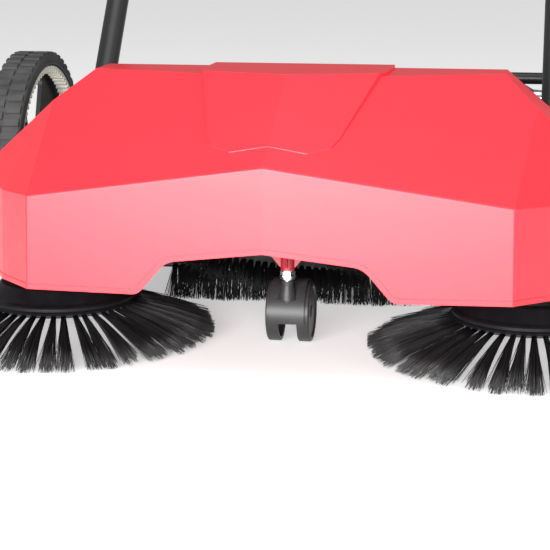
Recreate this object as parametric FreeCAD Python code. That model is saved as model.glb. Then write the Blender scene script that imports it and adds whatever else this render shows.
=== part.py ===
"""Walk-behind sweeper: two side brushes and a roller driven by the wheels, a front caster and a rear hopper.

Lengths are millimetres. The model is drawn from the front corner line of the hood, with +X to the operator's left,
+Y to the rear and +Z up, and save() moves it so that the origin is the floor point under the middle of its box.
"""
import FreeCAD
import Part
import math
import os

V = FreeCAD.Vector
AXIS_X, AXIS_Y, AXIS_Z = V(1, 0, 0), V(0, 1, 0), V(0, 0, 1)
SIDES = (("left", 1), ("right", -1))

# ---- driving dimensions -------------------------------------------------------------------------------------
ORIGIN_BACK = 468.08                # from the hood's front corner line back to the origin

HOOD_HALF = 250.0                   # half width between the two front corners
HOOD_BOW = 14.0                     # how far the middle of the front stands forward of the corners
HOOD_BOTTOM, HOOD_CORNER, HOOD_MIDDLE = 90.0, 188.0, 225.0
HOOD_DRAFT = 0.03
HOOD_ROOF, HOOD_BACK = 300.0, 274.0
FLANK = (298.0, 68.0, 182.0)        # where the chamfered corner meets the side of the hood
SHOULDER = (368.5, 200.0, 182.0)    # where the side turns to run straight back
PEAK = (268.0, 166.0, 268.5)        # where the three facets above the corner meet
COVER_HALF = 260.0                  # half width of the rear cover, between the handle's pivot nuts
SKIRT_FALL = 6.0                    # how much lower the skirt's edge is at the side than at the front
HOOD_WALL, HOOD_EDGE_R = 4.0, 3.0
LIP_HEIGHT, LIP_GROOVE, LIP_DEPTH = 5.2, 1.3, 0.8

BRUSH_X, BRUSH_Y, BRUSH_R = 266.9, 166.5, 180.0
DISC_R, DISC_RIM = 86.0, 49.0

WHEEL_R, WHEEL_W, WHEEL_IN = 150.0, 45.0, 352.0
GEAR_MODULE, RING_TEETH, PINION_TEETH = 3.0, 84, 12
ROLLER_Y, ROLLER_Z, ROLLER_R, ROLLER_HALF = 358.0, 70.0, 70.0, 195.0
ROLLER_TUFTS, CORE_R = 178.0, 26.0
GEAR_CENTRES = GEAR_MODULE * (RING_TEETH - PINION_TEETH) / 2
WHEEL_Z = WHEEL_R
WHEEL_Y = ROLLER_Y + math.sqrt(GEAR_CENTRES ** 2 - (WHEEL_Z - ROLLER_Z) ** 2)

PLATE_X, PLATE_T = 298.0, 3.0
DECK_Z, DECK_T = 140.0, 5.0
BELT_X, BELT_R = 225.0, 3.0
ROLLER_PULLEY, CROSS_PULLEY = 12.5, 25.0
CROSS_Z = 98.0                      # height of the cross shafts that turn the side brushes
BEVEL_MODULE, BEVEL_TEETH, BEVEL_FACE = 3.0, 16, 9.0
BEVEL_R = BEVEL_MODULE * BEVEL_TEETH / 2

CASTER_Y, CASTER_TRAIL, CASTER_R, CASTER_HALF = 150.0, 27.0, 34.0, 24.5
NUT_R = 8.5                         # from the middle of the caster's nuts to their corners

HOPPER_HALF, HOPPER_Y0, HOPPER_Y1 = 282.0, 462.0, 712.0
HOPPER_Z0, HOPPER_Z1, HOPPER_WALL = 18.0, 234.0, 3.0
BAIL_Y, BAIL_Z = 585.0, 212.0

HANDLE_Y, HANDLE_Z, HANDLE_X = 395.0, 208.0, 283.0
HANDLE_ANGLE = math.radians(52)
LEG_R, LEG_LENGTH = 14.0, 430.0
UPPER_R, UPPER_START, UPPER_END = 11.0, 310.0, 880.0
RUN = 0.05                          # radial clearance of a running fit


# ---- small tools --------------------------------------------------------------------------------------------
def save(name, *solids):
    """Writes one node, moved to the row frame."""
    shape = solids[0] if len(solids) == 1 else Part.makeCompound(list(solids))
    shape = shape.copy()
    shape.translate(V(0, -ORIGIN_BACK, 0))
    if not shape.isValid():
        print("not valid:", name)
    shape.exportStep("parts/%s.step" % name)


def box(x0, x1, y0, y1, z0, z1):
    return Part.makeBox(x1 - x0, y1 - y0, z1 - z0, V(x0, y0, z0))


def box_side(side, x0, x1, y0, y1, z0, z1):
    """A box given by distances from the middle plane, on one side of the machine."""
    low, high = sorted((side * x0, side * x1))
    return box(low, high, y0, y1, z0, z1)


def rod_x(x0, x1, y, z, r):
    low, high = sorted((x0, x1))
    return Part.makeCylinder(r, high - low, V(low, y, z), AXIS_X)


def rod_z(x, y, z0, z1, r):
    return Part.makeCylinder(r, z1 - z0, V(x, y, z0), AXIS_Z)


def ring_x(x0, x1, y, z, r_in, r_out):
    return rod_x(x0, x1, y, z, r_out).cut(rod_x(min(x0, x1) - 1, max(x0, x1) + 1, y, z, r_in))


def ring_z(x, y, z0, z1, r_in, r_out):
    return rod_z(x, y, z0, z1, r_out).cut(rod_z(x, y, z0 - 1, z1 + 1, r_in))


def fuse(first, *others):
    for other in others:
        first = first.fuse(other)
    return first.removeSplitter()


def rounded_wire(points, radii):
    """A closed wire through the points, with each corner rounded to its radius."""
    count = len(points)
    starts, ends, arcs = [], [], []
    for i, corner in enumerate(points):
        before, after, r = points[i - 1], points[(i + 1) % count], radii[i]
        u, w = (before - corner).normalize(), (after - corner).normalize()
        if r <= 0:
            starts.append(corner)
            ends.append(corner)
            arcs.append(None)
            continue
        half = u.getAngle(w) / 2
        reach = r / math.tan(half)
        middle = corner + (u + w).normalize() * (r / math.sin(half) - r)
        starts.append(corner + u * reach)
        ends.append(corner + w * reach)
        arcs.append(Part.Arc(starts[-1], middle, ends[-1]).toShape())
    edges = []
    for i in range(count):
        if arcs[i] is not None:
            edges.append(arcs[i])
        following = starts[(i + 1) % count]
        if (following - ends[i]).Length > 1e-6:
            edges.append(Part.LineSegment(ends[i], following).toShape())
    return Part.Wire(Part.__sortEdges__(edges))


def prism_x(points, x0, x1, radius=0.0, radii=None):
    """A (y, z) outline extruded along X."""
    low, high = sorted((x0, x1))
    wire = rounded_wire([V(low, y, z) for y, z in points], radii or [radius] * len(points))
    return Part.Face(wire).extrude(V(high - low, 0, 0))


def prism_y(points, y0, y1, radii):
    """An (x, z) outline extruded along Y."""
    return Part.Face(rounded_wire([V(x, y0, z) for x, z in points], radii)).extrude(V(0, y1 - y0, 0))


def prism_z(points, z0, z1, radius=0.0):
    """An (x, y) outline extruded along Z."""
    wire = rounded_wire([V(x, y, z0) for x, y in points], [radius] * len(points))
    return Part.Face(wire).extrude(V(0, 0, z1 - z0))


def turned_x(profile, y, z, side=1):
    """A closed (x, r) profile turned about an axis along X; side -1 mirrors it to the other side."""
    wire = Part.makePolygon([V(side * x, y, z + r) for x, r in profile + profile[:1]])
    return Part.Face(wire).revolve(V(0, y, z), AXIS_X, 360)


def turned_z(profile, x, y):
    """A closed (r, z) profile turned about a vertical axis."""
    wire = Part.makePolygon([V(x + r, y, z) for r, z in profile + profile[:1]])
    return Part.Face(wire).revolve(V(x, y, 0), AXIS_Z, 360)


def hexagon_x(x0, x1, y, z, across):
    r = across / math.sqrt(3)
    corners = [(y + r * math.cos(math.radians(60 * i)), z + r * math.sin(math.radians(60 * i))) for i in range(6)]
    return prism_x(corners, x0, x1)


def half_space_cut(solid, point, normal, size=3000.0):
    """Removes what lies beyond a plane, on the side the normal points to."""
    tool = Part.makeBox(size, size, size, V(-size / 2, -size / 2, 0))
    tool.Placement = FreeCAD.Placement(point, FreeCAD.Rotation(AXIS_Z, normal)).multiply(tool.Placement)
    return solid.cut(tool)


def gear_points(teeth, module, tip, root, thinning):
    """The (r, angle) outline of an involute gear with one tooth centred on angle 0."""
    pitch, pressure = module * teeth / 2, math.radians(20)
    base = pitch * math.cos(pressure)
    half_tooth = math.pi / (2 * teeth) - thinning / (2 * pitch)

    def flank(r):
        spread = math.acos(min(1.0, base / r))
        return half_tooth - (math.tan(spread) - spread) + (math.tan(pressure) - pressure)

    low = max(root, base)
    radii = [low + (tip - low) * k / 3 for k in range(4)]
    side = [(r, flank(r)) for r in radii]
    if root < base:
        side.insert(0, (root, flank(base)))
    outline = []
    for tooth in range(teeth):
        turn = 2 * math.pi * tooth / teeth
        outline += [(r, turn - a) for r, a in side] + [(r, turn + a) for r, a in reversed(side)]
    return outline


# ---- hood ---------------------------------------------------------------------------------------------------
def mirrored(point, side):
    return V(side * point.x, point.y, point.z)


def hood_planes():
    """(point, outward normal) of the hood's flat faces. Its corners are given for the +X side."""
    nose = V(0, -HOOD_BOW, HOOD_MIDDLE)
    corner = V(HOOD_HALF, 0, HOOD_CORNER)
    flank, shoulder, peak = V(*FLANK), V(*SHOULDER), V(*PEAK)
    inside = V(0, 150, 150)

    def through(a, b, c):
        normal = (b - a).cross(c - a).normalize()
        return a, (normal if normal.dot(a - inside) > 0 else normal * -1)

    def wall(a, b):
        along = V(b.x - a.x, b.y - a.y, 0).normalize()
        out = V(-along.y, along.x, 0)
        if out.dot(a - inside) < 0:
            out = out * -1
        return through(a, b, a + V(out.x * HOOD_DRAFT, out.y * HOOD_DRAFT, -1) * 50)

    planes = [(V(0, 0, HOOD_ROOF), AXIS_Z)]
    for _, side in SIDES:
        n, c, f, s, p = (mirrored(q, side) for q in (nose, corner, flank, shoulder, peak))
        planes += [
            wall(n, c), wall(c, f), wall(f, s), wall(s, s + V(0, 100, 0)),
            through(n, c, p), through(c, f, p), through(f, s, p), through(s, p, s + V(0, 100, 0)),
        ]
    return planes


def hood_form(inset, z_low, y_back):
    """The hood's outer form, moved in by inset."""
    form = box(-400, 400, -100, y_back, z_low, 400)
    for point, normal in hood_planes():
        form = half_space_cut(form, point - normal * inset, normal)
    return form


def skirt_tool(raise_by):
    """What is cut away below the skirt: everything under its edge, with the arch between the side brushes."""
    up = raise_by
    grow = raise_by * 0.72
    outline = [
        (-450, -50), (-450, HOOD_BOTTOM + up), (-131 - grow * 0.6, HOOD_BOTTOM + up), (-101 - grow * 0.6, 125 + up),
        (0, 137.3 + up), (101 + grow * 0.6, 125 + up), (131 + grow * 0.6, HOOD_BOTTOM + up), (450, HOOD_BOTTOM + up),
        (450, -50),
    ]
    front = prism_y(outline, -200, 0, [0, 0, 14 - up * 0.8, 26 + up, 4, 26 + up, 14 - up * 0.8, 0, 0])
    low = HOOD_BOTTOM - SKIRT_FALL + up
    return front.fuse(prism_x([(0, -50), (0, HOOD_BOTTOM + up), (FLANK[1], low), (400, low), (400, -50)], -450, 450))


def hood_badge_panel():
    """The slightly raised, steeper panel in the middle of the bonnet."""
    plan = [(-40, 19), (40, 19), (62, 34), (69, 50), (104, 190), (104, 296), (-104, 296), (-104, 190), (-69, 50),
            (-62, 34)]
    panel = prism_z(plan, 200, 400)
    for _, side in SIDES:
        panel = half_space_cut(panel, V(0, 19, 242.2), V(side * 0.166, -0.53, 1).normalize())
    panel = half_space_cut(panel, V(0, 0, HOOD_ROOF + 3.5), AXIS_Z)
    return panel.cut(box(-200, 200, 0, 400, 0, 232))


def front_hood():
    low = HOOD_BOTTOM - SKIRT_FALL - 10
    outer = hood_form(0, low, HOOD_BACK)
    edges = [e for e in outer.Edges if e.Length > 20 and e.BoundBox.ZMax > low + 1 and e.BoundBox.YMin < HOOD_BACK - 1]
    outer = outer.makeFillet(HOOD_EDGE_R, edges)
    inner = hood_form(HOOD_WALL, HOOD_BOTTOM - 60, HOOD_BACK + 60)
    shell = outer.fuse(hood_badge_panel().common(hood_form(-6, 100, HOOD_BACK))).cut(inner)
    shell = shell.cut(skirt_tool(0))
    skin = hood_form(-5, 60, 400).cut(hood_form(LIP_DEPTH, 50, 420))
    line = skirt_tool(LIP_HEIGHT + LIP_GROOVE).cut(skirt_tool(LIP_HEIGHT))
    shell = shell.cut(skin.common(line))
    roof = hood_form(HOOD_WALL - 1, 60, HOOD_BACK)
    for x, y in HOOD_POSTS:
        post = ring_z(x, y, DECK_Z + DECK_T, 320, 2.4, 8)
        shell = shell.fuse(post.common(roof))
    save("front_hood", shell.removeSplitter())


HOOD_POSTS = [(side * 150, y) for side in (1, -1) for y in (70, 250)]


# ---- frame --------------------------------------------------------------------------------------------------
def chassis_deck():
    outline = [(-240, 16), (240, 16), (272, 48), (296, 132), (296, 298), (-296, 298), (-296, 132), (-272, 48)]
    deck = prism_z(outline, DECK_Z, DECK_Z + DECK_T, 4)
    deck = deck.fuse(prism_z([(-234, 22), (234, 22), (234, 26), (-234, 26)], DECK_Z, DECK_Z + 16))
    for x in (-200, -100, 100, 200):
        deck = deck.fuse(box(x - 2, x + 2, 26, 294, DECK_Z, DECK_Z + 14))
    for _, side in SIDES:
        deck = deck.fuse(box_side(side, 292, 296, 140, 296, DECK_Z - 14, DECK_Z))
        deck = deck.cut(rod_z(side * BRUSH_X, BRUSH_Y, DECK_Z - 1, DECK_Z + 30, 17.3))
    for x, y in HOOD_POSTS:
        deck = deck.cut(rod_z(x, y, DECK_Z - 1, DECK_Z + 30, 8.6)).fuse(
            ring_z(x, y, DECK_Z, DECK_Z + DECK_T - 0.2, 2.6, 10))
    boss = rod_z(0, CASTER_Y, 87, DECK_Z, 7.9)
    for turn in (0, 90, 180, 270):
        rib = Part.makePolygon([V(0, 0, 90), V(8.5, 0, 90), V(50, 0, DECK_Z), V(0, 0, DECK_Z), V(0, 0, 90)])
        rib = Part.Face(rib).extrude(V(0, 3, 0))
        rib.translate(V(0, CASTER_Y - 1.5, 0))
        rib.rotate(V(0, CASTER_Y, 0), AXIS_Z, turn)
        boss = boss.fuse(rib)
    deck = deck.fuse(boss)
    deck = deck.cut(rod_z(0, CASTER_Y, 80, DECK_Z + DECK_T + 1, 5))
    for x in PLATE_SCREWS_Y:
        for _, side in SIDES:
            deck = deck.cut(rod_x(side * 280, side * 299, x, DECK_Z - 7, 2.5))
    save("chassis_deck", deck.removeSplitter())


PLATE_SCREWS_Y = (160, 220, 280)


def side_plates():
    outline = [
        (132, 84), (132, 150), (150, 168), (296, 168), (340, 240), (376, 240), (440, 264), (476, 264), (500, 200),
        (644, 110), (644, 24), (470, 24), (400, 36), (330, 44), (300, 84),
    ]
    holes = [
        (WHEEL_Y, WHEEL_Z, 10), (ROLLER_Y, ROLLER_Z, 14), (HANDLE_Y, HANDLE_Z, 5.1),
        (CROSS_BARS[0][0], CROSS_BARS[0][1], 4), (CROSS_BARS[1][0], CROSS_BARS[1][1], 4), (240, 118, 12),
        (540, 100, 26), (390, 175, 9),
    ]
    for name, side in SIDES:
        plate = prism_x(outline, side * PLATE_X, side * (PLATE_X + PLATE_T), 8)
        for y, z, r in holes:
            plate = plate.cut(rod_x(side * 290, side * 310, y, z, r))
        for y in PLATE_SCREWS_Y:
            plate = plate.cut(rod_x(side * 290, side * 310, y, DECK_Z - 7, 2.6))
        save("side_plate_" + name, plate)


def handle_point(along, across=0.0):
    """The (y, z) of a point on the handle: along it from its pivot, and across it towards the rear."""
    c, s = math.cos(HANDLE_ANGLE), math.sin(HANDLE_ANGLE)
    return HANDLE_Y + along * c + across * s, HANDLE_Z + along * s - across * c


CROSS_BARS = [(312.0, 162.0), handle_point(70, LEG_R + 10.3)]


def cross_bars_and_axle():
    bars = []
    for y, z in CROSS_BARS:
        bar = ring_x(-PLATE_X, PLATE_X, y, z, 8, 10)
        for _, side in SIDES:
            bar = bar.fuse(ring_x(side * (PLATE_X - 32), side * PLATE_X, y, z, 4, 9))
        bars.append(bar.removeSplitter())
    save("cross_bars", *bars)
    axle = rod_x(-404, 404, WHEEL_Y, WHEEL_Z, 10)
    for _, side in SIDES:
        axle = axle.cut(ring_x(side * 400, side * 401.5, WHEEL_Y, WHEEL_Z, 8.5, 12))
        axle = axle.fuse(ring_x(side * (PLATE_X - 8), side * PLATE_X, WHEEL_Y, WHEEL_Z, 9.5, 15))
    save("wheel_axle", axle.removeSplitter())
    clips = [ring_x(side * 400.1, side * 401.4, WHEEL_Y, WHEEL_Z, 8.5, 13.5) for _, side in SIDES]
    return clips


def roller_housing():
    """The black hood over the roller, with an end wall at each side and a chute back to the hopper."""
    def form(inset, half, low):
        r = ROLLER_R + 13 - inset
        top = Part.makeCylinder(r, 2 * half, V(-half, ROLLER_Y, ROLLER_Z), AXIS_X)
        top = top.cut(box(-half - 1, half + 1, 200, 500, -50, low))
        chute = box(-half, half, ROLLER_Y + 30, 458.3, low, 137 - inset)
        return fuse(top, chute)

    outer = form(0, ROLLER_HALF + 11, 30)
    inner = form(3, ROLLER_HALF + 8, -20).fuse(box(-203, 203, 440, 470, -20, 134))
    housing = outer.cut(inner)
    housing = housing.cut(box(-300, 300, 200, 300, 0, 96))
    housing = housing.cut(box(-300, 300, 200, 345, 0, 44))
    lug = box(-180, 180, 286, 297, 126, 139.8).cut(rod_x(-190, 190, ROLLER_Y, ROLLER_Z, 81))
    housing = housing.fuse(lug)
    for _, side in SIDES:
        housing = housing.cut(rod_x(side * 190, side * 215, ROLLER_Y, ROLLER_Z, 14))
    save("roller_housing", housing.removeSplitter())


def rear_cover():
    """The black cover that closes the back of the hood and runs down to the hopper."""
    def form(inset):
        shape = hood_form(5.2 + inset, 173 - inset * 4, 520)
        half = COVER_HALF - inset
        shape = shape.common(box(-half, half, HOOD_BACK - 12 - inset * 20, 455.5 - inset, 100, 400))
        return half_space_cut(shape, V(0, 292, HOOD_ROOF - 6 - inset), V(0, 0.36, 1).normalize())

    cover = form(0).cut(form(3))
    save("rear_cover", cover.removeSplitter())


def bearings_and_seal():
    save("roller_bearings", *[
        fuse(ring_x(side * 198.3, side * 206.5, ROLLER_Y, ROLLER_Z, 8 + RUN, 13.9),
             ring_x(side * 206.5, side * 209, ROLLER_Y, ROLLER_Z, 8 + RUN, 20)) for _, side in SIDES
    ] + [
        fuse(ring_x(side * 294, side * 301, ROLLER_Y, ROLLER_Z, 8 + RUN, 13.9),
             ring_x(side * 301, side * 303, ROLLER_Y, ROLLER_Z, 8 + RUN, 20)) for _, side in SIDES])
    housings = []
    for _, side in SIDES:
        x = side * BRUSH_X
        housing = turned_z([(8 + RUN, 132), (17, 132), (17, 145), (30, 145), (30, 150), (18, 150), (17, 166),
                            (8 + RUN, 166)], x, BRUSH_Y)
        for turn in (90, 210, 330):
            a = math.radians(turn)
            housing = housing.cut(rod_z(x + 24 * math.cos(a), BRUSH_Y + 24 * math.sin(a), 140, 156, 2.2))
        housings.append(housing)
    save("spindle_housings", *housings)
    seal = box(-206, 206, 458.4, 461.6, 26, 146).cut(box(-197, 197, 450, 470, 39, 135))
    save("hopper_mouth_seal", seal)


def drive_hangers():
    """A bracket under the deck at each side, with two ears that carry the cross shaft on either side of its pulley."""
    hangers = []
    for _, side in SIDES:
        hanger = box_side(side, 211, 239, BRUSH_Y - 16, BRUSH_Y + 16, DECK_Z - 4, DECK_Z)
        for x in (211, 234):
            ear = prism_x([(BRUSH_Y - 16, DECK_Z - 2), (BRUSH_Y - 11, CROSS_Z - 11), (BRUSH_Y + 11, CROSS_Z - 11),
                           (BRUSH_Y + 16, DECK_Z - 2)], side * x, side * (x + 5), radii=[0, 8, 8, 0])
            hanger = hanger.fuse(ear)
        hanger = hanger.cut(rod_x(side * 205, side * 245, BRUSH_Y, CROSS_Z, 6 + RUN))
        hangers.append(hanger.removeSplitter())
    save("drive_hangers", *hangers)


def hopper_rails():
    rails = []
    for _, side in SIDES:
        rail = box_side(side, 264, 298, 470, 640, 14.5, 17.2)
        rails.append(rail.fuse(box_side(side, 295, 298, 470, 640, 14.5, 36)).removeSplitter())
    save("hopper_rails", *rails)


def belts():
    """A round belt at each side, from the pulley on the roller's shaft forward to the cross shaft's."""
    dy, dz = ROLLER_Y - BRUSH_Y, ROLLER_Z - CROSS_Z
    span, lean = math.hypot(dy, dz), math.atan2(dz, dy)
    open_angle = math.asin((CROSS_PULLEY - ROLLER_PULLEY) / span)
    for name, side in SIDES:
        x = side * BELT_X

        def point(cy, cz, r, angle):
            return V(x, cy + r * math.cos(angle), cz + r * math.sin(angle))

        up, down = lean + math.pi / 2 - open_angle, lean - math.pi / 2 + open_angle
        c_up, c_down = point(BRUSH_Y, CROSS_Z, CROSS_PULLEY, up), point(BRUSH_Y, CROSS_Z, CROSS_PULLEY, down)
        r_up, r_down = point(ROLLER_Y, ROLLER_Z, ROLLER_PULLEY, up), point(ROLLER_Y, ROLLER_Z, ROLLER_PULLEY, down)
        edges = [
            Part.Arc(c_down, point(BRUSH_Y, CROSS_Z, CROSS_PULLEY, lean + math.pi), c_up).toShape(),
            Part.LineSegment(c_up, r_up).toShape(),
            Part.Arc(r_up, point(ROLLER_Y, ROLLER_Z, ROLLER_PULLEY, lean), r_down).toShape(),
            Part.LineSegment(r_down, c_down).toShape(),
        ]
        pieces = []
        for edge in edges:
            start, tangent = edge.valueAt(edge.FirstParameter), edge.tangentAt(edge.FirstParameter)
            disc = Part.Wire(Part.makeCircle(BELT_R, start, tangent))
            pieces.append(Part.Wire(edge).makePipeShell([disc], True, True))
        save("drive_belt_" + name, fuse(*pieces))


def pulley(y, z, pitch, bore, side):
    """A pulley in the belt's plane, with a groove that the round belt lies in."""
    flange, floor = pitch + 3.4, pitch - BELT_R - 0.1
    return turned_x([
        (BELT_X - 5.5, bore), (BELT_X - 5.5, flange), (BELT_X - 3.9, flange), (BELT_X - 3.2, floor),
        (BELT_X + 3.2, floor), (BELT_X + 3.9, flange), (BELT_X + 5.5, flange), (BELT_X + 5.5, bore)], y, z, side)


def caster_stem():
    stem = turned_z([(0, 34), (5, 34), (5, 77), (8.2, 77), (8.2, 79.5), (5, 79.5), (5, 152), (0, 152)], 0, CASTER_Y)
    save("caster_stem", stem)
    turns = [math.radians(60 * i) for i in range(7)]
    hexagon = [V(NUT_R * math.cos(a), CASTER_Y + NUT_R * math.sin(a), 0) for a in turns]
    nut = Part.makePolygon([corner + V(0, 0, 80.5) for corner in hexagon])
    nut = Part.Face(nut).extrude(V(0, 0, 5)).cut(rod_z(0, CASTER_Y, 70, 90, 5))
    washer = ring_z(0, CASTER_Y, 79.5, 80.5, 5, 9.6)
    top_washer = ring_z(0, CASTER_Y, 85.5, 87, 5, 7.4)
    top_nut = Part.makePolygon([corner + V(0, 0, DECK_Z + DECK_T) for corner in hexagon])
    top_nut = Part.Face(top_nut).extrude(V(0, 0, 6)).cut(rod_z(0, CASTER_Y, 140, 160, 5))
    save("caster_lock_nut", fuse(nut, washer, top_washer), top_nut)


def frame_screws(clips):
    screws = list(clips)
    for x, y in HOOD_POSTS:
        screws.append(fuse(rod_z(x, y, DECK_Z - 3, DECK_Z, 5), rod_z(x, y, DECK_Z, DECK_Z + 18, 2.35)))
    for _, side in SIDES:
        for y in PLATE_SCREWS_Y:
            screws.append(fuse(rod_x(side * 301, side * 303.5, y, DECK_Z - 7, 5),
                               rod_x(side * 289, side * 301, y, DECK_Z - 7, 2.45)))
        for y, z in CROSS_BARS:
            screws.append(fuse(hexagon_x(side * 301, side * 305.5, y, z, 13),
                               rod_x(side * 270, side * 301, y, z, 3.95)))
        for turn in (90, 210, 330):
            a = math.radians(turn)
            x, y = side * BRUSH_X + 24 * math.cos(a), BRUSH_Y + 24 * math.sin(a)
            screws.append(fuse(rod_z(x, y, 150, 153, 4), rod_z(x, y, DECK_Z + DECK_T, 150, 2.15)))
    save("frame_screws", *screws)


# ---- wheels and gears ---------------------------------------------------------------------------------------
def mesh_angle():
    """The direction, in the YZ plane, from the wheel's axle to the roller's."""
    return math.atan2(ROLLER_Z - WHEEL_Z, ROLLER_Y - WHEEL_Y)


def gear_prism(points, x0, x1, y, z, turn):
    low, high = sorted((x0, x1))
    corners = [V(low, y + r * math.cos(a + turn), z + r * math.sin(a + turn)) for r, a in points]
    return Part.Face(Part.makePolygon(corners + corners[:1])).extrude(V(high - low, 0, 0))


def wheels():
    pitch = GEAR_MODULE * RING_TEETH / 2
    space = gear_points(RING_TEETH, GEAR_MODULE, pitch + 3.1, pitch - 1.9, -0.5)
    rim_r = WHEEL_R - 14
    out = WHEEL_IN + WHEEL_W
    for name, side in SIDES:
        rim = turned_x([
            (303.5, 12), (303.5, 24), (309, 24), (312, 20), (370, 20), (376, 30), (376, rim_r - 5),
            (WHEEL_IN, rim_r - 3), (WHEEL_IN, rim_r), (out, rim_r), (out, rim_r - 5), (382, rim_r - 9),
            (381, 34), (390, 26), (398, 24), (398, 12)], WHEEL_Y, WHEEL_Z, side)
        for k in range(5):
            window = prism_x([(44, -17), (44, 17), (111, 44), (119, 24), (119, -24), (111, -44)], 365, 392, 9)
            window = window.copy() if side == 1 else window.mirror(V(0, 0, 0), AXIS_X)
            window.rotate(V(0, 0, 0), AXIS_X, 72 * k + 90)
            window.translate(V(0, WHEEL_Y, WHEEL_Z))
            rim = rim.cut(window)
        save("wheel_rim_" + name, rim)
        gear = ring_x(side * (WHEEL_IN + 1), side * (WHEEL_IN + 17), WHEEL_Y, WHEEL_Z, 100, rim_r - 4.6)
        gear = gear.cut(gear_prism(space, side * WHEEL_IN, side * (WHEEL_IN + 18), WHEEL_Y, WHEEL_Z, mesh_angle()))
        rim_seat = rim.common(ring_x(side * (WHEEL_IN - 1), side * (WHEEL_IN + 18), WHEEL_Y, WHEEL_Z, 90, 200))
        save("ring_gear_" + name, gear.cut(rim_seat))
        save("wheel_bush_" + name, turned_x([(303.5, 10 + RUN), (303.5, 12), (398, 12), (398, 15), (399.5, 15),
                                             (399.5, 10 + RUN)], WHEEL_Y, WHEEL_Z, side))
        tread = WHEEL_R - 4
        save("tyre_" + name, turned_x([(WHEEL_IN, rim_r), (WHEEL_IN, tread - 2), (WHEEL_IN + 3, tread + 2),
                                       (WHEEL_IN + 8, WHEEL_R), (out - 8, WHEEL_R), (out - 3, tread + 2),
                                       (out, tread - 2), (out, rim_r)], WHEEL_Y, WHEEL_Z, side))
        save("hub_cap_" + name, turned_x([(398, 15.5), (398, 23), (404, 22), (408, 17), (410, 9), (410.5, 0),
                                          (407.5, 0), (407, 9), (405, 15.5)], WHEEL_Y, WHEEL_Z, side))


def pinions():
    pitch = GEAR_MODULE * PINION_TEETH / 2
    teeth = gear_points(PINION_TEETH, GEAR_MODULE, pitch + 2.4, pitch - 3.2, 0.35)
    for name, side in SIDES:
        gear = gear_prism(teeth, side * (WHEEL_IN + 2), side * (WHEEL_IN + 16), ROLLER_Y, ROLLER_Z, mesh_angle())
        gear = gear.fuse(rod_x(side * 340, side * (WHEEL_IN + 2), ROLLER_Y, ROLLER_Z, 13))
        save("drive_pinion_" + name, gear.cut(rod_x(side * 330, side * 380, ROLLER_Y, ROLLER_Z, 8 + RUN)))


def roller():
    shaft = rod_x(-372, 372, ROLLER_Y, ROLLER_Z, 8)
    for _, side in SIDES:
        shaft = shaft.fuse(ring_x(side * 334, side * 339, ROLLER_Y, ROLLER_Z, 7, 12))
        shaft = shaft.fuse(ring_x(side * 369, side * 371, ROLLER_Y, ROLLER_Z, 7, 11))
    save("roller_shaft", shaft.removeSplitter())
    save("roller_pulleys", *[pulley(ROLLER_Y, ROLLER_Z, ROLLER_PULLEY, 8, side) for _, side in SIDES])
    save("roller_core", ring_x(-ROLLER_HALF - 2, ROLLER_HALF + 2, ROLLER_Y, ROLLER_Z, 8, CORE_R))
    save("roller_bristles", ring_x(-ROLLER_TUFTS, ROLLER_TUFTS, ROLLER_Y, ROLLER_Z, CORE_R, ROLLER_R - 0.5))


# ---- side brushes -------------------------------------------------------------------------------------------
def bevel(apex, axis_angle_about_y, reach, bore, hub, tooth_turn):
    """A mitre gear drawn with its axis along +Z from its apex at the origin, then turned about Y and placed."""
    large = gear_points(BEVEL_TEETH, BEVEL_MODULE, BEVEL_R + 2.1, BEVEL_R - 3.1, 1.3)
    wires = []
    for height in (BEVEL_R - BEVEL_FACE, BEVEL_R):
        k = height / BEVEL_R
        corners = [V(k * r * math.cos(a + tooth_turn), k * r * math.sin(a + tooth_turn), height) for r, a in large]
        wires.append(Part.makePolygon(corners + corners[:1]))
    gear = Part.makeLoft(wires, True, True)
    gear = gear.fuse(Part.makeCylinder(hub, reach, V(0, 0, BEVEL_R)))
    gear = gear.cut(Part.makeCylinder(bore, 80, V(0, 0, 0)))
    gear.rotate(V(0, 0, 0), AXIS_Y, axis_angle_about_y)
    gear.translate(apex)
    return gear


def side_brushes():
    for name, side in SIDES:
        x = side * BRUSH_X
        apex = V(x, BRUSH_Y, CROSS_Z)
        rim, top = DISC_RIM, DISC_RIM + 17
        profile = [
            (8, rim - 4), (22, rim - 4), (26, rim + 3), (60, rim + 3), (72, rim - 7), (80, rim - 13), (87.5, rim - 8.5),
            (88.5, rim - 6), (DISC_R, rim - 4.5), (DISC_R, rim - 1.5), (DISC_R - 1.5, rim), (DISC_R - 6, rim + 2),
            (66, top - 2), (58, top), (24, top), (20, top + 4), (8, top + 4)]
        save("brush_disc_" + name, turned_z(profile, x, BRUSH_Y))
        skirt = [(81, rim - 13.2), (88, rim - 9), (BRUSH_R, 9), (BRUSH_R, 0.6), (BRUSH_R - 24, 0.6)]
        save("side_bristles_" + name, turned_z(skirt, x, BRUSH_Y))
        spindle = turned_z([(0, rim - 8), (13, rim - 8), (13, rim - 4), (8, rim - 4), (8, 132), (8, 168), (6.5, 170),
                            (0, 170)], x, BRUSH_Y)
        collar = ring_z(x, BRUSH_Y, 166.2, 168.2, 7.5, 12)
        save("brush_spindle_" + name, spindle.fuse(collar).removeSplitter())
        save("bevel_gear_" + name, bevel(apex, 180, CROSS_Z - BEVEL_R - top - 4, 8, 12, 0))
        save("bevel_pinion_" + name, bevel(apex, -side * 90, 2, 6, 11, math.pi / BEVEL_TEETH))
        shaft_end = BRUSH_X - BEVEL_R + BEVEL_FACE
        shaft = fuse(rod_x(side * 209, side * shaft_end, BRUSH_Y, CROSS_Z, 6),
                     rod_x(side * 208, side * 210.5, BRUSH_Y, CROSS_Z, 8))
        save("cross_shaft_" + name, shaft)
        save("cross_pulley_" + name, pulley(BRUSH_Y, CROSS_Z, CROSS_PULLEY, 6, side))


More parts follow.
